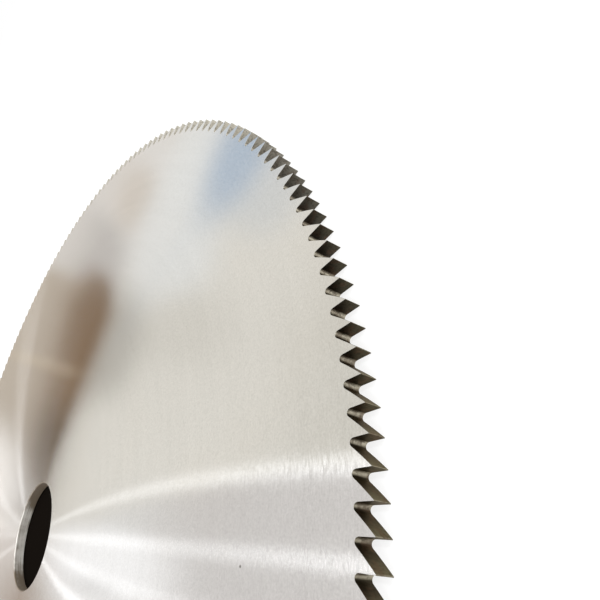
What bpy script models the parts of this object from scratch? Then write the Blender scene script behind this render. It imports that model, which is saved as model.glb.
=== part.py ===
"""Circular saw blade: a solid high-speed-steel cold-saw disc with fine ground teeth.

The blade lies flat. Z is its axis, the lower face is at z = 0 and the origin is the centre of
that face. Units are metres. Seen from above, the teeth cut clockwise.
"""

import math

import bmesh
import bpy
from mathutils import Vector

# Disc
BLADE_DIAMETER = 0.250
BLADE_THICKNESS = 0.0030

# Arbor bore
BORE_DIAMETER = 0.030
BORE_CHAMFER = 0.0002
BORE_SEGMENTS = 96
CUTTER_OVERRUN = 0.001

# Teeth
TOOTH_COUNT = 200
TOOTH_DEPTH = 0.0030
RAKE_ANGLE = math.radians(2.0)
GULLET_RADIUS = 0.0006
BACK_RADIUS = 0.060
TIP_LAND = 0.00012
TIP_RELIEF = math.radians(12.0)
GULLET_SEGMENTS = 4
BACK_SEGMENTS = 3

# Finish of the bare ground steel
STEEL_COLOUR = (0.62, 0.61, 0.58, 1.0)
STEEL_ROUGHNESS = 0.28
STEEL_METALLIC = 1.0
SHARP_ANGLE = math.radians(18.0)


def clear_scene():
    """Removes whatever the file holds, so that the model starts from nothing."""
    for obj in list(bpy.data.objects):
        bpy.data.objects.remove(obj, do_unlink=True)


def make_collection(name):
    """Returns a new collection linked to the scene."""
    collection = bpy.data.collections.new(name)
    bpy.context.scene.collection.children.link(collection)
    return collection


def ground_steel():
    """The bare steel of the blade."""
    material = bpy.data.materials.new("ground_steel")
    material.use_nodes = True
    shader = material.node_tree.nodes["Principled BSDF"]
    shader.inputs["Base Color"].default_value = STEEL_COLOUR
    shader.inputs["Roughness"].default_value = STEEL_ROUGHNESS
    shader.inputs["Metallic"].default_value = STEEL_METALLIC
    return material


def turned(point, angle):
    """Returns a plane point turned about the axis."""
    cosine = math.cos(angle)
    sine = math.sin(angle)
    return Vector((point.x * cosine - point.y * sine, point.x * sine + point.y * cosine))


def circles_meet(centre_a, radius_a, centre_b, radius_b):
    """Returns the two points that lie on both circles."""
    span = centre_b - centre_a
    distance = span.length
    along = (distance ** 2 + radius_a ** 2 - radius_b ** 2) / (2.0 * distance)
    across = math.sqrt(radius_a ** 2 - along ** 2)
    foot = centre_a + span * (along / distance)
    normal = Vector((-span.y, span.x)) / distance
    return foot + normal * across, foot - normal * across


def arc_points(centre, start, end, segments):
    """Points from start to end along the shorter arc round a centre, both ends included."""
    spoke = start - centre
    sweep = math.atan2(spoke.cross(end - centre), spoke.dot(end - centre))
    return [centre + turned(spoke, sweep * step / segments) for step in range(segments + 1)]


def tooth_space():
    """One pitch of the outline: from a tip at +X down its face, through the gullet and up the
    back of the next tooth, which lies clockwise, to the rear of that tooth's land."""
    tip_radius = BLADE_DIAMETER / 2.0
    pitch_angle = math.tau / TOOTH_COUNT
    tip = Vector((tip_radius, 0.0))

    # The gullet arc touches the cutting face and reaches the root circle.
    down_face = Vector((-math.cos(RAKE_ANGLE), math.sin(RAKE_ANGLE)))
    off_face = Vector((-math.sin(RAKE_ANGLE), -math.cos(RAKE_ANGLE)))
    centre_radius = tip_radius - TOOTH_DEPTH + GULLET_RADIUS
    beside_tip = tip + off_face * GULLET_RADIUS
    inward = beside_tip.dot(down_face)
    travel = -inward - math.sqrt(inward ** 2 - beside_tip.length_squared + centre_radius ** 2)
    gullet_centre = beside_tip + down_face * travel
    face_root = gullet_centre - off_face * GULLET_RADIUS

    # The next tooth ends in a narrow land, and its arched back runs into the gullet.
    land_slope = Vector((-math.sin(TIP_RELIEF), math.cos(TIP_RELIEF)))
    land_rear = turned(tip + land_slope * TIP_LAND, -pitch_angle)
    back_centre = min(
        circles_meet(land_rear, BACK_RADIUS, gullet_centre, BACK_RADIUS + GULLET_RADIUS),
        key=lambda point: point.length,
    )
    back_root = gullet_centre + (back_centre - gullet_centre).normalized() * GULLET_RADIUS

    gullet = arc_points(gullet_centre, face_root, back_root, GULLET_SEGMENTS)
    back = arc_points(back_centre, back_root, land_rear, BACK_SEGMENTS)
    return [tip] + gullet + back[1:]


def blade_outline():
    """The whole toothed outline, clockwise from the tip at +X."""
    space = tooth_space()
    pitch_angle = math.tau / TOOTH_COUNT
    return [turned(point, -pitch_angle * tooth) for tooth in range(TOOTH_COUNT) for point in space]


def toothed_disc(collection, material):
    """The blade blank with its teeth: the flat outline, extruded to the blade's thickness."""
    outline = blade_outline()
    curve = bpy.data.curves.new("blade_outline", "CURVE")
    curve.dimensions = "2D"
    curve.fill_mode = "BOTH"
    curve.extrude = BLADE_THICKNESS / 2.0
    spline = curve.splines.new("POLY")
    spline.points.add(len(outline) - 1)
    for control, point in zip(spline.points, outline):
        control.co = (point.x, point.y, 0.0, 1.0)
    spline.use_cyclic_u = True
    guide = bpy.data.objects.new("blade_outline", curve)
    guide.location.z = BLADE_THICKNESS / 2.0
    collection.objects.link(guide)
    bpy.context.view_layer.update()

    # As a mesh, the disc can take the bore's cut: its sides are welded and each face is one plane.
    evaluated = guide.evaluated_get(bpy.context.evaluated_depsgraph_get())
    mesh = bpy.data.meshes.new_from_object(evaluated)
    mesh.name = "saw_blade"
    disc = bmesh.new()
    disc.from_mesh(mesh)
    bmesh.ops.remove_doubles(disc, verts=disc.verts, dist=1e-6)
    bmesh.ops.dissolve_limit(disc, angle_limit=1e-4, verts=disc.verts, edges=disc.edges)
    bmesh.ops.recalc_face_normals(disc, faces=disc.faces)
    disc.to_mesh(mesh)
    disc.free()

    blade = bpy.data.objects.new("saw_blade", mesh)
    blade.matrix_world = guide.matrix_world
    collection.objects.link(blade)
    bpy.data.objects.remove(guide, do_unlink=True)
    mesh.materials.clear()
    mesh.materials.append(material)
    return blade


def bore_cutter(collection):
    """A turned plug of the arbor bore, which opens at both faces to cut their chamfers."""
    bore_radius = BORE_DIAMETER / 2.0
    above = BLADE_THICKNESS + CUTTER_OVERRUN
    below = -CUTTER_OVERRUN
    flare = BORE_CHAMFER + CUTTER_OVERRUN
    profile = [
        (0.0, above),
        (bore_radius + flare, above),
        (bore_radius, BLADE_THICKNESS - BORE_CHAMFER),
        (bore_radius, BORE_CHAMFER),
        (bore_radius + flare, below),
        (0.0, below),
    ]
    mesh = bpy.data.meshes.new("bore_cutter")
    points = [(radius, 0.0, height) for radius, height in profile]
    edges = [(index, index + 1) for index in range(len(profile) - 1)]
    mesh.from_pydata(points, edges, [])
    cutter = bpy.data.objects.new("bore_cutter", mesh)
    cutter.hide_render = True
    cutter.display_type = "WIRE"
    collection.objects.link(cutter)

    screw = cutter.modifiers.new("turn", "SCREW")
    screw.axis = "Z"
    screw.steps = BORE_SEGMENTS
    screw.render_steps = BORE_SEGMENTS
    screw.use_merge_vertices = True
    screw.merge_threshold = 1e-6
    return cutter


def cut_bore(blade, cutter):
    """Cuts the chamfered arbor bore through the disc."""
    cut = blade.modifiers.new("arbor_bore", "BOOLEAN")
    cut.operation = "DIFFERENCE"
    cut.solver = "EXACT"
    cut.object = cutter


def main():
    clear_scene()
    parts = make_collection("circular_saw_blade")
    cutters = make_collection("cutters")
    blade = toothed_disc(parts, ground_steel())
    cut_bore(blade, bore_cutter(cutters))
    blade.data.shade_smooth()
    blade.data.set_sharp_from_angle(angle=SHARP_ANGLE)


main()
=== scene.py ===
"""The looks of a solid circular saw blade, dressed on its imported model.

The blade lies flat on a pale floor. Units are metres, Z is the blade's axis, and its lower face
is at z = 0.
"""

import math

import bmesh
import bpy
from mathutils import Matrix, Vector


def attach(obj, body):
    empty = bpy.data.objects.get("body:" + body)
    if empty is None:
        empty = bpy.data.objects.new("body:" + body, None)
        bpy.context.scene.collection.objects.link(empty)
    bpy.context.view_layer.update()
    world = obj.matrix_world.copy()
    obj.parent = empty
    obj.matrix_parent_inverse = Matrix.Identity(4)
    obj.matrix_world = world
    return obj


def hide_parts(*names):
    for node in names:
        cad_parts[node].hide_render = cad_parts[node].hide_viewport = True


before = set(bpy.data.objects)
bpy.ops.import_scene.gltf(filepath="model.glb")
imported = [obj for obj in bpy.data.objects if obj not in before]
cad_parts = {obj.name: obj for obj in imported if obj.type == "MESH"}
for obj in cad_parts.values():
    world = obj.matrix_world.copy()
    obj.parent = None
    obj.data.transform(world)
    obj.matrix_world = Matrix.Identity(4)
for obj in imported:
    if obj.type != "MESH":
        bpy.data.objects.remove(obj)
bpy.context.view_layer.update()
scene = bpy.context.scene


# The photographer's eye: close over the near side of the blade, looking across it towards the
# arbor bore with a wide lens, the camera turned on its side so that the blade seems to stand.

EYE = Vector((0.00025, -0.16719, 0.05343))
LOOKED_AT = Vector((0.03679, -0.08313, 0.0030))
CAMERA_ROLL = math.radians(71.63)
FOCAL_LENGTH_MM = 32.47
FRAME_SHIFT = (0.1667, 0.0837)

camera_data = bpy.data.cameras.new("camera")
camera_data.sensor_width = 36.0
camera_data.lens = FOCAL_LENGTH_MM
camera_data.shift_x = FRAME_SHIFT[0]
camera_data.shift_y = FRAME_SHIFT[1]
camera_data.clip_start = 0.005
camera = bpy.data.objects.new("camera", camera_data)
level_view = (LOOKED_AT - EYE).to_track_quat("-Z", "Y").to_matrix().to_4x4()
camera.matrix_world = Matrix.Translation(EYE) @ level_view @ Matrix.Rotation(-CAMERA_ROLL, 4, "Z")
scene.collection.objects.link(camera)
scene.camera = camera


# The blade: one disc of high speed steel, punched, hardened, then ground on both faces in rings
# round the bore. The teeth are ground straight through the disc, each with a round gullet, a
# nearly radial cutting face and an arched back that ends in a narrow land.

BLADE_DIAMETER = 0.250
BLADE_THICKNESS = 0.0030
BORE_DIAMETER = 0.030
BORE_CHAMFER = 0.0002
TOOTH_COUNT = 200
TOOTH_DEPTH = 0.0030
RAKE_ANGLE = math.radians(2.0)
GULLET_RADIUS = 0.0006
BACK_RADIUS = 0.060
TIP_LAND = 0.00012
TIP_RELIEF = math.radians(12.0)
GULLET_STEPS = 9
BACK_STEPS = 6
EDGE_BREAK = 0.00003
# Painted shade on the walls of the teeth: darkest round -Y up to the first of these, and gone past the
# second.
PAINTED_SHADE_DEEPEST = -0.116
PAINTED_SHADE_FADED = -0.084
# Painted highlight on the wall of the bore: a band about the middle in x, full out to the first distance
# and gone past the second.
BORE_HIGHLIGHT_FROM = 0.0060
BORE_HIGHLIGHT_TO = 0.0120
BORE_HIGHLIGHT_MIDDLE = -0.0015
NICK_PLACE = (-0.0009, -0.1010, BLADE_THICKNESS)
NICK_RADIUS = 0.0003
SCRATCHES_PER_METRE = 6800.0
BROAD_RINGS_PER_METRE = 420.0
WELD_DISTANCE = 1e-6
SHARP_FROM = math.radians(25.0)
PITCH_ANGLE = math.tau / TOOTH_COUNT


def turned(point, angle):
    """Returns a plane point turned about the axis."""
    cosine = math.cos(angle)
    sine = math.sin(angle)
    return Vector((point.x * cosine - point.y * sine, point.x * sine + point.y * cosine))


def circles_meet(centre_a, radius_a, centre_b, radius_b):
    """Returns the two points that lie on both circles."""
    span = centre_b - centre_a
    distance = span.length
    along = (distance ** 2 + radius_a ** 2 - radius_b ** 2) / (2.0 * distance)
    across = math.sqrt(radius_a ** 2 - along ** 2)
    foot = centre_a + span * (along / distance)
    normal = Vector((-span.y, span.x)) / distance
    return foot + normal * across, foot - normal * across


def arc_points(centre, start, end, steps):
    """Points from start to end along the shorter arc round a centre, both ends included."""
    spoke = start - centre
    sweep = math.atan2(spoke.cross(end - centre), spoke.dot(end - centre))
    return [centre + turned(spoke, sweep * step / steps) for step in range(steps + 1)]


def tooth_profile():
    """One pitch of the rim, clockwise from a tip at +X to the next tip: the cutting face, the
    gullet, the back of the next tooth and its land. Returns these four runs of points."""
    tip_radius = BLADE_DIAMETER / 2.0
    tip = Vector((tip_radius, 0.0))
    down_face = Vector((-math.cos(RAKE_ANGLE), math.sin(RAKE_ANGLE)))
    off_face = Vector((-math.sin(RAKE_ANGLE), -math.cos(RAKE_ANGLE)))
    centre_radius = tip_radius - TOOTH_DEPTH + GULLET_RADIUS
    beside_tip = tip + off_face * GULLET_RADIUS
    inward = beside_tip.dot(down_face)
    travel = -inward - math.sqrt(inward ** 2 - beside_tip.length_squared + centre_radius ** 2)
    gullet_centre = beside_tip + down_face * travel
    face_root = gullet_centre - off_face * GULLET_RADIUS

    land_slope = Vector((-math.sin(TIP_RELIEF), math.cos(TIP_RELIEF)))
    land_rear = turned(tip + land_slope * TIP_LAND, -PITCH_ANGLE)
    back_centre = min(
        circles_meet(land_rear, BACK_RADIUS, gullet_centre, BACK_RADIUS + GULLET_RADIUS),
        key=lambda point: point.length,
    )
    back_root = gullet_centre + (back_centre - gullet_centre).normalized() * GULLET_RADIUS
    gullet = arc_points(gullet_centre, face_root, back_root, GULLET_STEPS)
    back = arc_points(back_centre, back_root, land_rear, BACK_STEPS)
    return [tip, face_root], gullet, back, [land_rear, turned(tip, -PITCH_ANGLE)]


cutting_face, gullet, back, land = tooth_profile()
rim_points = cutting_face + gullet[1:] + back[1:] + land[1:]
travelled = [0.0]
for before, after in zip(rim_points, rim_points[1:]):
    travelled.append(travelled[-1] + (after - before).length)
ALONG = [distance / travelled[-1] for distance in travelled]
FACE_END = ALONG[1]
GULLET_END = ALONG[1 + GULLET_STEPS]
BACK_END = ALONG[1 + GULLET_STEPS + BACK_STEPS]

FACE_ZONE = 0
TOOTH_ZONE = 1
BORE_ZONE = 2
BODY_LEAN = 0.36 * PITCH_ANGLE
RING_RADII = (BLADE_DIAMETER / 2.0 - TOOTH_DEPTH - GULLET_RADIUS, 0.085, 0.045)


def blade_slice():
    """One tooth pitch of the blade, from rim to bore, open along both of its cut sides. The
    cuts run from a tip down inside the tooth's body, so that they never cross a gullet."""
    slice_mesh = bmesh.new()
    zone = slice_mesh.faces.layers.int.new("zone")
    rim_map = slice_mesh.loops.layers.uv.new("tooth_profile")
    bore = BORE_DIAMETER / 2.0

    levels = {}
    for height in (0.0, BLADE_THICKNESS):
        levels[height] = [slice_mesh.verts.new((*point, height)) for point in rim_points]
    lower = levels[0.0]
    upper = levels[BLADE_THICKNESS]

    outline = [(radius, BLADE_THICKNESS) for radius in RING_RADII]
    outline.append((bore + BORE_CHAMFER, BLADE_THICKNESS))
    outline.append((bore, BLADE_THICKNESS - BORE_CHAMFER))
    outline.append((bore, BORE_CHAMFER))
    outline.append((bore + BORE_CHAMFER, 0.0))
    outline.extend((radius, 0.0) for radius in reversed(RING_RADII))
    rungs = []
    for radius, height in outline:
        ends = [turned(Vector((radius, 0.0)), BODY_LEAN - side * PITCH_ANGLE) for side in (0, 1)]
        rungs.append([slice_mesh.verts.new((*end, height)) for end in ends])
    for number, (one, two) in enumerate(zip(rungs, rungs[1:])):
        quad = slice_mesh.faces.new((one[0], two[0], two[1], one[1]))
        quad[zone] = BORE_ZONE if 3 <= number <= 5 else FACE_ZONE

    slice_mesh.faces.new(list(reversed(upper + [rungs[0][1], rungs[0][0]])))
    slice_mesh.faces.new(lower + [rungs[-1][1], rungs[-1][0]])

    for number in range(len(rim_points) - 1):
        corners = (upper[number], upper[number + 1], lower[number + 1], lower[number])
        wall = slice_mesh.faces.new(corners)
        wall[zone] = TOOTH_ZONE
        wall.smooth = True
        places = ((number, 1.0), (number + 1, 1.0), (number + 1, 0.0), (number, 0.0))
        for corner, (step, height) in zip(wall.loops, places):
            corner[rim_map].uv = (ALONG[step], height)

    mesh = bpy.data.meshes.new("blade_slice")
    slice_mesh.to_mesh(mesh)
    slice_mesh.free()
    return mesh


class Wire:
    """One output of a node. Sums written on it add the Math nodes that work them out."""

    def __init__(self, finish, socket):
        self.finish = finish
        self.socket = socket

    def maths(self, operation, *terms):
        return self.finish.node("ShaderNodeMath", {"operation": operation}, dict(enumerate(terms)))

    def __add__(self, other):
        return self.maths("ADD", self, other)

    def __radd__(self, other):
        return self.maths("ADD", other, self)

    def __sub__(self, other):
        return self.maths("SUBTRACT", self, other)

    def __rsub__(self, other):
        return self.maths("SUBTRACT", other, self)

    def __mul__(self, other):
        return self.maths("MULTIPLY", self, other)

    def __rmul__(self, other):
        return self.maths("MULTIPLY", other, self)

    def __truediv__(self, other):
        return self.maths("DIVIDE", self, other)

    def __rtruediv__(self, other):
        return self.maths("DIVIDE", other, self)

    def __pow__(self, other):
        return self.maths("POWER", self, other)

    def __abs__(self):
        return self.maths("ABSOLUTE", self)


class Finish:
    """The nodes of one finish, or of the studio's world."""

    def __init__(self, owner):
        self.owner = owner
        owner.use_nodes = True
        self.tree = owner.node_tree
        self.tree.nodes.clear()

    def node(self, kind, settings=None, values=None, output=0):
        """Adds a node, makes its settings, fills or links its sockets, and returns an output."""
        node = self.tree.nodes.new(kind)
        for name, setting in (settings or {}).items():
            if name == "stops":
                while len(node.color_ramp.elements) < len(setting):
                    node.color_ramp.elements.new(1.0)
                for element, (place, colour) in zip(node.color_ramp.elements, setting):
                    element.position = place
                    element.color = (*colour, 1.0)
            else:
                setattr(node, name, setting)
        for name, value in (values or {}).items():
            if isinstance(value, Wire):
                self.tree.links.new(value.socket, node.inputs[name])
            else:
                node.inputs[name].default_value = value
        return Wire(self, node.outputs[output]) if node.outputs else None

    def blend(self, share, first, second):
        """A colour that goes from the first to the second as the share goes from 0 to 1."""
        first, second = (c if isinstance(c, Wire) else (*c, 1.0) for c in (first, second))
        settings = {"data_type": "RGBA"}
        return self.node("ShaderNodeMix", settings, {0: share, 6: first, 7: second}, 2)

    def smooth_step(self, value, low, high):
        """A share that climbs smoothly from 0 to 1 as the value goes from low to high."""
        settings = {"interpolation_type": "SMOOTHSTEP"}
        return self.node("ShaderNodeMapRange", settings, {0: value, 1: low, 2: high})


def ring_ground_steel():
    """The two faces: bright steel with fine grinding rings round the bore and one small dark
    nick. Most of the surface mirrors the room, and the scratches draw each lamp out across them
    into a fan."""
    finish = Finish(bpy.data.materials.new("ring_ground_steel"))
    place = finish.node("ShaderNodeTexCoord", output=3)
    flat = finish.node("ShaderNodeVectorMath", {"operation": "MULTIPLY"}, {0: place, 1: (1, 1, 0)})
    radius = finish.node("ShaderNodeVectorMath", {"operation": "LENGTH"}, {0: flat}, 1)
    spoke = finish.node("ShaderNodeVectorMath", {"operation": "NORMALIZE"}, {0: flat})

    def rings(per_metre, round_scale, detail):
        """Noise drawn out along rings: it changes fast with the radius and slowly round it."""
        scale = {"operation": "SCALE"}
        around = finish.node("ShaderNodeVectorMath", scale, {0: spoke, 3: round_scale})
        outwards = finish.node("ShaderNodeCombineXYZ", values={2: radius * per_metre})
        where = finish.node("ShaderNodeVectorMath", {"operation": "ADD"}, {0: around, 1: outwards})
        values = {"Vector": where, "Scale": 1.0, "Detail": detail}
        return finish.node("ShaderNodeTexNoise", values=values)

    scratches = rings(SCRATCHES_PER_METRE, 90.0, 2.0)
    broad = rings(BROAD_RINGS_PER_METRE, 2.5, 2.0)
    grain = finish.node("ShaderNodeTexNoise", values={"Vector": place, "Scale": 3200.0, "Detail": 2.0})
    cloud = finish.node("ShaderNodeTexNoise", values={"Vector": place, "Scale": 22.0, "Detail": 2.0})
    marks = 0.40 * scratches + 0.12 * broad + 0.48 * grain
    base = finish.blend(marks, (0.48, 0.475, 0.455), (0.88, 0.875, 0.86))
    warm = finish.blend(finish.smooth_step(cloud, 0.45, 0.75) * 0.3, base, (0.66, 0.63, 0.58))
    distance = {"operation": "DISTANCE"}
    from_nick = finish.node("ShaderNodeVectorMath", distance, {0: place, 1: NICK_PLACE}, 1)
    sound = finish.smooth_step(from_nick, 0.4 * NICK_RADIUS, NICK_RADIUS)
    nicked = finish.blend(sound, (0.26, 0.25, 0.23), warm)
    bump = finish.node(
        "ShaderNodeBump",
        values={"Strength": 0.10, "Distance": 0.00004, "Height": scratches},
    )
    polished = finish.node(
        "ShaderNodeBsdfPrincipled",
        values={
            "Base Color": nicked,
            "Metallic": 1.0,
            "Roughness": 0.085 + 0.03 * scratches,
            "Anisotropic": 0.6,
            "Anisotropic Rotation": 0.25,
            "Normal": bump,
        },
    )
    scratched = finish.node(
        "ShaderNodeBsdfAnisotropic",
        values={
            "Color": (0.67, 0.66, 0.65, 1.0),
            "Roughness": 0.18 + 0.08 * scratches,
            "Anisotropy": 0.84,
            "Normal": bump,
        },
    )
    share = (finish.smooth_step(scratches, 0.25, 0.75) * 0.18 + 0.09) * sound
    shader = finish.node("ShaderNodeMixShader", values={0: share, 1: polished, 2: scratched})
    finish.node("ShaderNodeOutputMaterial", values={"Surface": shader})
    return finish.owner


def tooth_ground_steel():
    """The walls of the teeth: ground steel with painted highlights, a bright stripe along the bottom of
    each gullet and a light line at each land, and painted dark reflection, a dark olive brown,
    elsewhere. This painted dark is deepest on the stretch of the rim round -Y, as painted shade, and
    fades on both sides of it to the lighter ground steel."""
    finish = Finish(bpy.data.materials.new("tooth_ground_steel"))
    rim_map = finish.node("ShaderNodeUVMap", {"uv_map": "tooth_profile"})
    along = finish.node("ShaderNodeSeparateXYZ", values={0: rim_map})
    place = finish.node("ShaderNodeTexCoord", output=3)
    stretched = finish.node(
        "ShaderNodeMapping", values={"Vector": place, "Scale": (5200.0, 5200.0, 900.0)}
    )
    grain = finish.node("ShaderNodeTexNoise", values={"Vector": stretched, "Scale": 1.0, "Detail": 3.0})
    speckle = finish.node("ShaderNodeTexNoise", values={"Vector": place, "Scale": 2600.0, "Detail": 2.0})
    patch = finish.node("ShaderNodeTexNoise", values={"Vector": place, "Scale": 800.0, "Detail": 2.0})
    gullet_middle = (FACE_END + GULLET_END) / 2.0
    gullet_half = (GULLET_END - FACE_END) / 2.0
    # The colours along the profile: painted dark reflection on the cutting face, the ends of the gullet
    # and the back, a painted highlight as a bright stripe across the bottom of the gullet, and a lighter
    # painted highlight towards and at the land.
    painted_profile = finish.node(
        "ShaderNodeValToRGB",
        {
            "stops": (
                (0.0, (0.085, 0.077, 0.054)),
                (FACE_END, (0.045, 0.038, 0.028)),
                (gullet_middle - 0.95 * gullet_half, (0.056, 0.046, 0.032)),
                (gullet_middle - 0.70 * gullet_half, (0.44, 0.40, 0.31)),
                (gullet_middle - 0.30 * gullet_half, (0.66, 0.61, 0.49)),
                (gullet_middle + 0.10 * gullet_half, (0.44, 0.40, 0.31)),
                (gullet_middle + 0.45 * gullet_half, (0.060, 0.050, 0.034)),
                (GULLET_END + 0.10, (0.048, 0.038, 0.028)),
                (BACK_END - 0.22, (0.105, 0.088, 0.058)),
                (BACK_END - 0.02, (0.150, 0.134, 0.084)),
                (BACK_END, (0.30, 0.27, 0.20)),
            )
        },
        {"Fac": along},
    )
    # Painted shade: the stretch of the rim round -Y takes the dark colours above, and on both sides of
    # it the walls fade to lighter ground steel with grain.
    across_rim = finish.node("ShaderNodeSeparateXYZ", values={0: place}, output=1)
    unshaded = finish.smooth_step(across_rim, PAINTED_SHADE_DEEPEST, PAINTED_SHADE_FADED)
    bare = finish.blend(grain, (0.60, 0.57, 0.48), (0.87, 0.84, 0.77))
    shade_blended = finish.blend(unshaded, painted_profile, bare)
    reddish = finish.smooth_step(patch, 0.48, 0.62) * 0.5 * (1.0 - unshaded)
    browned = finish.blend(reddish, shade_blended, (0.118, 0.070, 0.046))
    specks = finish.smooth_step(speckle, 0.52, 0.30) * 0.45
    specked = finish.blend(specks, browned, (0.02, 0.017, 0.012))
    lined = finish.blend(grain * 0.25, specked, (0.02, 0.017, 0.012))
    bump = finish.node(
        "ShaderNodeBump",
        values={"Strength": 0.5, "Distance": 0.00002, "Height": grain},
    )
    shader = finish.node(
        "ShaderNodeBsdfPrincipled",
        values={
            "Base Color": lined,
            "Metallic": 1.0,
            "Roughness": 0.38 + 0.2 * grain,
            "Specular Tint": (0.70, 0.64, 0.54, 1.0),
            "Normal": bump,
        },
    )
    finish.node("ShaderNodeOutputMaterial", values={"Surface": shader})
    return finish.owner


def bore_ground_steel():
    """The wall of the bore and its two chamfers: turned steel with lines round the hole and a random
    mottle, with a painted highlight on the wall within a band about the middle in x, and painted shade,
    dark, beyond it."""
    finish = Finish(bpy.data.materials.new("bore_ground_steel"))
    place = finish.node("ShaderNodeTexCoord", output=3)
    stretched = finish.node(
        "ShaderNodeMapping", values={"Vector": place, "Scale": (60.0, 60.0, 6000.0)}
    )
    lines = finish.node("ShaderNodeTexNoise", values={"Vector": stretched, "Scale": 1.0, "Detail": 2.0})
    mottle = finish.node("ShaderNodeTexNoise", values={"Vector": place, "Scale": 260.0, "Detail": 3.0})
    # Painted highlight within the band about the middle in x and painted shade beyond it; the mottle and
    # lines darken it at random too.
    from_middle = abs(finish.node("ShaderNodeSeparateXYZ", values={0: place}) - BORE_HIGHLIGHT_MIDDLE)
    painted_highlight = 1.0 - finish.smooth_step(from_middle, BORE_HIGHLIGHT_FROM, BORE_HIGHLIGHT_TO)
    shade = 0.40 * lines + 0.40 * mottle + 0.20 * painted_highlight
    highlight_and_mottle = finish.smooth_step(shade, 0.42, 0.66)
    base = finish.blend(highlight_and_mottle, (0.26, 0.21, 0.16), (0.95, 0.93, 0.89))
    shader = finish.node(
        "ShaderNodeBsdfPrincipled",
        values={"Base Color": base, "Metallic": 0.3, "Roughness": 0.45 + 0.15 * lines},
    )
    finish.node("ShaderNodeOutputMaterial", values={"Surface": shader})
    return finish.owner


def teeth_round_rim(face_finish, tooth_finish, bore_finish):
    """The geometry nodes that lay the slice round the axis, weld it and give it its finishes."""
    tree = bpy.data.node_groups.new("teeth_round_rim", "GeometryNodeTree")
    tree.interface.new_socket("Slice", in_out="INPUT", socket_type="NodeSocketGeometry")
    tree.interface.new_socket("Teeth", in_out="INPUT", socket_type="NodeSocketInt")
    tree.interface.new_socket("Weld", in_out="INPUT", socket_type="NodeSocketFloat")
    tree.interface.new_socket("Blade", in_out="OUTPUT", socket_type="NodeSocketGeometry")
    nodes = tree.nodes
    links = tree.links
    given = nodes.new("NodeGroupInput")

    places = nodes.new("GeometryNodePoints")
    laid = nodes.new("GeometryNodeInstanceOnPoints")
    links.new(given.outputs["Teeth"], places.inputs["Count"])
    links.new(places.outputs[0], laid.inputs["Points"])
    links.new(given.outputs["Slice"], laid.inputs["Instance"])

    number = nodes.new("GeometryNodeInputIndex")
    share = nodes.new("ShaderNodeMath")
    share.operation = "DIVIDE"
    links.new(number.outputs[0], share.inputs[0])
    links.new(given.outputs["Teeth"], share.inputs[1])
    angle = nodes.new("ShaderNodeMath")
    angle.operation = "MULTIPLY"
    angle.inputs[1].default_value = math.tau
    links.new(share.outputs[0], angle.inputs[0])
    turn = nodes.new("ShaderNodeCombineXYZ")
    links.new(angle.outputs[0], turn.inputs["Z"])
    links.new(turn.outputs[0], laid.inputs["Rotation"])

    real = nodes.new("GeometryNodeRealizeInstances")
    links.new(laid.outputs[0], real.inputs[0])
    weld = nodes.new("GeometryNodeMergeByDistance")
    links.new(real.outputs[0], weld.inputs["Geometry"])
    links.new(given.outputs["Weld"], weld.inputs["Distance"])

    zone = nodes.new("GeometryNodeInputNamedAttribute")
    zone.data_type = "INT"
    zone.inputs["Name"].default_value = "zone"
    stage = weld.outputs[0]
    for value, material in enumerate((face_finish, tooth_finish, bore_finish)):
        here = nodes.new("FunctionNodeCompare")
        here.data_type = "INT"
        here.operation = "EQUAL"
        here.inputs[3].default_value = value
        links.new(zone.outputs["Attribute"], here.inputs[2])
        painted = nodes.new("GeometryNodeSetMaterial")
        painted.inputs["Material"].default_value = material
        links.new(here.outputs[0], painted.inputs["Selection"])
        links.new(stage, painted.inputs["Geometry"])
        stage = painted.outputs[0]
    result = nodes.new("NodeGroupOutput")
    links.new(stage, result.inputs["Blade"])
    return tree


def input_of(tree, name):
    """The identifier by which a modifier knows one of the tree's inputs."""
    sockets = tree.interface.items_tree
    return next(s.identifier for s in sockets if s.name == name and s.in_out == "INPUT")


slice_object = bpy.data.objects.new("blade_slice", blade_slice())
scene.collection.objects.link(slice_object)
rim_tree = teeth_round_rim(ring_ground_steel(), tooth_ground_steel(), bore_ground_steel())
rim_modifier = slice_object.modifiers.new("teeth", "NODES")
rim_modifier.node_group = rim_tree
rim_modifier[input_of(rim_tree, "Teeth")] = TOOTH_COUNT
rim_modifier[input_of(rim_tree, "Weld")] = WELD_DISTANCE
edge_break = slice_object.modifiers.new("edge_break", "BEVEL")
edge_break.limit_method = "ANGLE"
edge_break.angle_limit = math.radians(60.0)
edge_break.width = EDGE_BREAK
edge_break.segments = 1

blade_mesh = bpy.data.meshes.new_from_object(
    slice_object.evaluated_get(bpy.context.evaluated_depsgraph_get())
)
blade_mesh.name = "blade"
blade_mesh.shade_smooth()
blade_mesh.set_sharp_from_angle(angle=SHARP_FROM)
blade = bpy.data.objects.new("blade", blade_mesh)
scene.collection.objects.link(blade)
bpy.data.objects.remove(slice_object, do_unlink=True)
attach(blade, "root")
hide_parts("saw_blade")


# The floor: a plain white sheet that the blade lies on, with a round hole in it under the bore that a
# black disc fills. The disc is painted shade, so that the bore shows dark. It isn't part of the blade.

FLOOR_RADIUS = 3.0
# The black disc of painted shade under the bore, and the hole in the floor that it fills.
SHADE_DISC_RADIUS = 0.0160
FLOOR_HEIGHT = -0.00002


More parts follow.
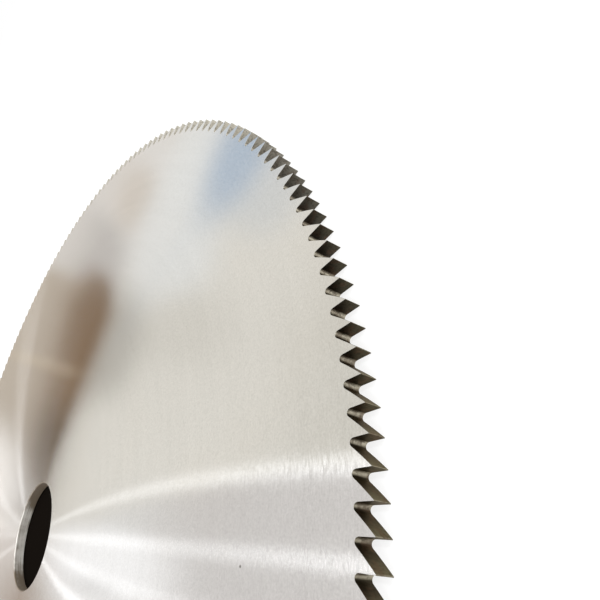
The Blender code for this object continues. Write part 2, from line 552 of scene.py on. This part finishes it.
def floor_ring(inner, outer, height, steps=96):
    """A flat ring, or a disc where the inner radius is 0."""
    ways = [turned(Vector((1.0, 0.0)), math.tau * step / steps) for step in range(steps)]
    sheet = bmesh.new()
    edge = [sheet.verts.new((*(way * outer), height)) for way in ways]
    if inner:
        hole = [sheet.verts.new((*(way * inner), height)) for way in ways]
        for step in range(steps):
            after = (step + 1) % steps
            sheet.faces.new((hole[step], edge[step], edge[after], hole[after]))
    else:
        sheet.faces.new(edge)
    mesh = bpy.data.meshes.new("floor")
    sheet.to_mesh(mesh)
    sheet.free()
    return mesh


def floor_paper():
    """White paper, lifted for the camera so that it shows as the photograph's white ground. The
    steel mirrors that white too, and the paper keeps the blade's soft shadow."""
    finish = Finish(bpy.data.materials.new("floor_paper"))
    paper = finish.node("ShaderNodeBsdfDiffuse", values={"Color": (0.90, 0.90, 0.90, 1.0)})
    lift = finish.node("ShaderNodeEmission", values={"Color": (1.0, 1.0, 1.0, 1.0), "Strength": 1.15})
    rays = ("Is Camera Ray", "Is Glossy Ray", "Is Transmission Ray")
    straight, mirrored, through = (finish.node("ShaderNodeLightPath", output=ray) for ray in rays)
    lifted = (straight + mirrored + through) * 0.65
    mixed = finish.node("ShaderNodeMixShader", values={0: lifted, 1: paper, 2: lift})
    finish.node("ShaderNodeOutputMaterial", values={"Surface": mixed})
    return finish.owner


def shade_disc_black():
    """A black disc below the bore: painted shade, so that the bore shows dark."""
    finish = Finish(bpy.data.materials.new("shade_disc_black"))
    dark = finish.node("ShaderNodeBsdfDiffuse", values={"Color": (0.0065, 0.0050, 0.0040, 1.0)})
    finish.node("ShaderNodeOutputMaterial", values={"Surface": dark})
    return finish.owner


floor = bpy.data.objects.new("floor", floor_ring(SHADE_DISC_RADIUS, FLOOR_RADIUS, FLOOR_HEIGHT))
floor.data.materials.append(floor_paper())
scene.collection.objects.link(floor)
# Painted shade: a black disc fills the hole in the floor under the bore.
shade_disc = bpy.data.objects.new("shade_disc", floor_ring(0.0, SHADE_DISC_RADIUS, FLOOR_HEIGHT))
shade_disc.data.materials.append(shade_disc_black())
scene.collection.objects.link(shade_disc)


# The studio: four long tube lamps and one broad soft lamp under the ceiling, and the room that
# the steel mirrors. The tubes draw the bright fans on the ring-ground faces. The room has pale
# walls, a low brown bench and a bluish window, and straight at the camera it is plain white.

LAMP_HEIGHT = 1.4
LAMP_COLOUR = (0.94, 0.97, 1.0)
TUBE_LENGTH = 0.40
TUBES = (
    {"place": (0.368, -0.20), "turn": 9.0, "width": 0.075, "power": 3.8},
    {"place": (0.017, 0.60), "turn": 0.0, "width": 0.055, "power": 1.2},
    {"place": (-0.222, 0.20), "turn": -7.0, "width": 0.080, "power": 1.9},
    {"place": (-0.395, 0.80), "turn": -11.0, "width": 0.090, "power": 3.3},
)
BROAD_SIZE = 1.6
BROAD_POWER = 3.0


def ceiling_lamp(name, place, turn, size, power):
    """A soft lamp that faces straight down, turned by some degrees about the vertical."""
    light = bpy.data.lights.new(name, "AREA")
    light.shape = "RECTANGLE"
    light.size = size[0]
    light.size_y = size[1]
    light.energy = power
    light.color = LAMP_COLOUR
    lamp = bpy.data.objects.new(name, light)
    lamp.location = (*place, LAMP_HEIGHT)
    lamp.rotation_euler.z = math.radians(turn)
    scene.collection.objects.link(lamp)


for number, tube in enumerate(TUBES, 1):
    tube_size = (tube["width"], TUBE_LENGTH)
    ceiling_lamp(f"tube_lamp_{number}", tube["place"], tube["turn"], tube_size, tube["power"])
ceiling_lamp("broad_lamp", (0.0, 0.0), 0.0, (BROAD_SIZE, BROAD_SIZE), BROAD_POWER)

BENCH_POINTS_AT = (90.1, 16.8)
BENCH_MIDDLE = 16.65
BENCH_HIGHEST_AT = 70.0
BENCH_LEVEL_FROM = 82.0
BENCH_DROP = 0.0035
BENCH_HALF_WIDTH = 1.45
BENCH_WIDENS = 0.048
BENCH_WIDENS_FROM = 84.0
WOOD = (0.25, 0.145, 0.07)
WOOD_IN_SHADE = (0.09, 0.040, 0.005)


def studio_room():
    """The room round the blade, by compass bearing from +X and by height above the floor, both
    in degrees."""
    studio = Finish(bpy.data.worlds.new("studio"))
    way = studio.node("ShaderNodeTexCoord", output=0)
    x, y, z = (studio.node("ShaderNodeSeparateXYZ", values={0: way}, output=axis) for axis in range(3))
    to_degrees = 180.0 / math.pi
    bearing = y.maths("ARCTAN2", y, x) * to_degrees
    height = z.maths("ARCSINE", z) * to_degrees
    aside = BENCH_POINTS_AT[0] - bearing
    above = height - BENCH_POINTS_AT[1]

    def rise(value, low, high):
        """From 0 to 1 as the value goes from low to high."""
        return studio.smooth_step(value, low, high)

    def fall(value, low, high):
        """From 1 to 0 as the value goes from low to high."""
        return 1.0 - studio.smooth_step(value, low, high)

    def patch(middle, reach, blur=0.5):
        """A soft oval on the wall: 1 in its middle and 0 past its reach."""
        across = (bearing - middle[0]) / reach[0]
        up = (height - middle[1]) / reach[1]
        away = (across * across + up * up) ** 0.5
        return fall(away, 1.0 - blur, 1.0 + blur)

    # The near wall is pale and warm, duller near the ceiling, and cooler past a slanted edge.
    warm = studio.blend(rise(height, 34.0, 46.0), (1.03, 1.00, 0.93), (0.86, 0.83, 0.755))
    warm = studio.blend(patch((64.0, 25.0), (5.0, 6.0)), warm, (0.93, 0.90, 0.83))
    cool = studio.blend(rise(height, 24.0, 33.0), (1.02, 1.01, 0.99), (0.85, 0.82, 0.81))
    wall = studio.blend(rise(above - 2.0 * aside, -1.5, 2.5), warm, cool)
    wall = studio.blend(patch((92.6, 24.0), (4.0, 6.5), 0.35), wall, (1.40, 1.40, 1.42))
    wall = studio.blend(patch((94.5, 23.4), (1.2, 1.8)) * 0.5, wall, (0.72, 0.70, 0.69))

    # The far wall stands behind the bench, low down, with a beige cupboard before it.
    far_wall = studio.blend(rise(bearing, 56.0, 59.5), (1.00, 0.96, 0.92), (0.76, 0.72, 0.69))
    in_shade = fall(height, 15.8, 18.2) * rise(bearing, 54.0, 58.0)
    far_wall = studio.blend(in_shade, far_wall, (0.65, 0.61, 0.58))
    far_wall = studio.blend(fall(height, 12.5, 15.5), far_wall, (0.90, 0.85, 0.80))
    low_and_far = fall(height, 17.8, 19.6) * fall(bearing, 64.0, 67.0)
    wall = studio.blend(low_and_far, wall, far_wall)
    wall = studio.blend(patch((53.3, 17.2), (3.4, 1.9)) * 0.9, wall, (0.80, 0.70, 0.60))

    # Daylight lies along the wall above it, round the bluish window.
    wall = studio.blend(patch((52.0, 21.0), (14.5, 2.6)), wall, (1.08, 1.09, 1.08))
    wall = studio.blend(patch((56.5, 23.0), (5.0, 4.0)), wall, (1.07, 1.08, 1.07))
    wall = studio.blend(patch((46.0, 28.5), (5.5, 3.5)), wall, (0.89, 0.91, 0.915))
    wall = studio.blend(patch((43.5, 24.6), (8.0, 2.4)), wall, (0.58, 0.70, 0.86))

    # Below the bench the floor is brown, and a white screen stands in front of it.
    wall = studio.blend(patch((69.2, 19.7), (6.2, 3.0)) * 0.8, wall, (0.55, 0.53, 0.48))
    wooden_floor = rise(bearing, 62.0, 64.5) * fall(height, 15.5, 17.0)
    wall = studio.blend(wooden_floor, wall, (0.64, 0.55, 0.45))
    under_bench = -0.42 * aside - above
    screen = rise(under_bench, 0.1, 0.7) * (1.0 - 0.6 * rise(under_bench, 1.2, 2.0))
    wall = studio.blend(screen * rise(bearing, 77.0, 84.0), wall, (1.90, 1.87, 1.86))
    near_floor = rise(bearing, 89.4, 90.2) * fall(height, 15.5, 19.5)
    wall = studio.blend(near_floor, wall, (0.84, 0.76, 0.70))
    wall = studio.blend(patch((97.0, 17.1), (5.0, 2.2)) * 0.9, wall, (0.42, 0.32, 0.25))

    # The bench is seen end on: it widens away from the place that it points at, and its
    # edges are softer there.
    from_bend = bearing.maths("MINIMUM", bearing, BENCH_LEVEL_FROM) - BENCH_HIGHEST_AT
    middle = BENCH_MIDDLE - BENCH_DROP * from_bend * from_bend
    half_width = BENCH_HALF_WIDTH + BENCH_WIDENS * (BENCH_WIDENS_FROM - bearing)
    rounded_end = 0.45 + 0.55 * rise(bearing, 61.5, 66.5)
    from_middle = abs(height - middle) / (half_width * rounded_end)
    blur = 0.35 - 0.25 * rise(bearing, 76.0, 82.0)
    bench = fall(from_middle, 1.0 - blur, 1.0 + blur)
    bench = bench * rise(bearing, 60.5, 63.5) * fall(bearing, 87.5, 91.0)
    wood = studio.blend(rise(bearing, 74.0, 81.0), WOOD, WOOD_IN_SHADE)
    wall = studio.blend(bench, wall, wood)
    wall = studio.blend(patch((73.0, 14.0), (0.6, 3.6)) * 0.42, wall, (0.80, 0.66, 0.48))

    # Everywhere else the room is one plain pale tone.
    drawn_part = rise(bearing, 30.0, 42.0) * fall(bearing, 98.0, 106.0) * fall(height, 52.0, 66.0)
    room = studio.blend(drawn_part, (0.92, 0.90, 0.86), wall)
    straight = studio.node("ShaderNodeLightPath", output="Is Camera Ray")
    seen = studio.blend(straight, room, (1.0, 1.0, 1.0))
    sky = studio.node("ShaderNodeBackground", values={"Color": seen, "Strength": 1.0})
    studio.node("ShaderNodeOutputWorld", values={"Surface": sky})
    return studio.owner


scene.world = studio_room()

scene.view_settings.view_transform = "Standard"
